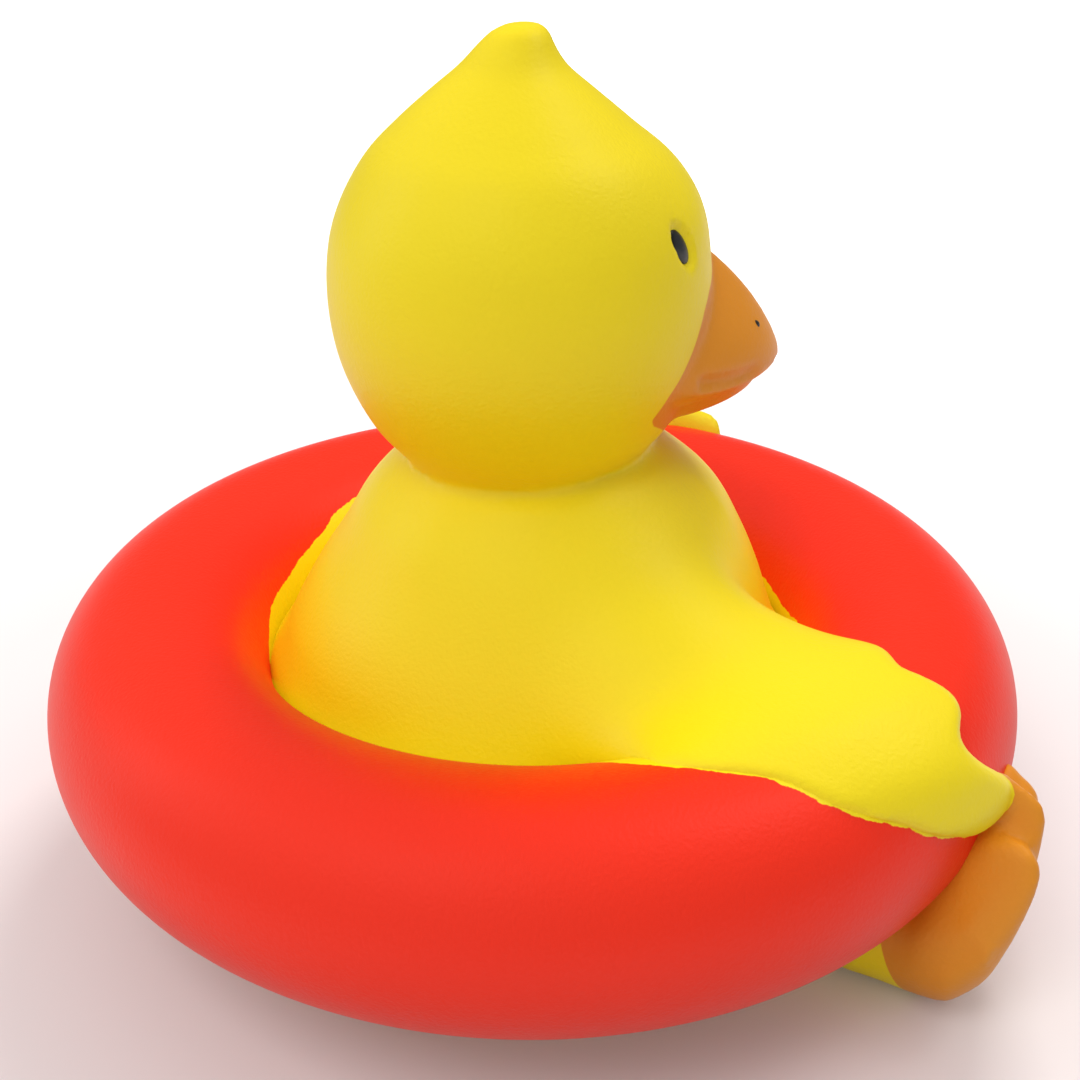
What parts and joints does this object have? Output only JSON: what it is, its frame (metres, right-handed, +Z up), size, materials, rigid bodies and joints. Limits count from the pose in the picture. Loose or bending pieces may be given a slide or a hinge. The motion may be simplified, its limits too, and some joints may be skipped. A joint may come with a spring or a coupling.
{
  "type": "bath duck in swim ring",
  "caption": "Hollow soft vinyl bath duck with a pointed tuft and a broad bill, sitting in a round swim ring with its wings over the ring and its webbed feet stretched out in front",
  "frame": {"origin": "on the swim ring's axis, at the height of the floor that the toy rests on", "axes": "+Z up along the ring's axis, the duck faces -Y, its right wing is towards -X"},
  "size_m": [0.095, 0.0948, 0.082],
  "materials": {
    "vinyl": "soft semi-gloss moulded vinyl, coloured with spray paint: yellow duck, red ring, orange bill and feet, black eyes"
  },
  "bodies": {
    "root": {"duck": "vinyl"}
  },
  "joints": []
}
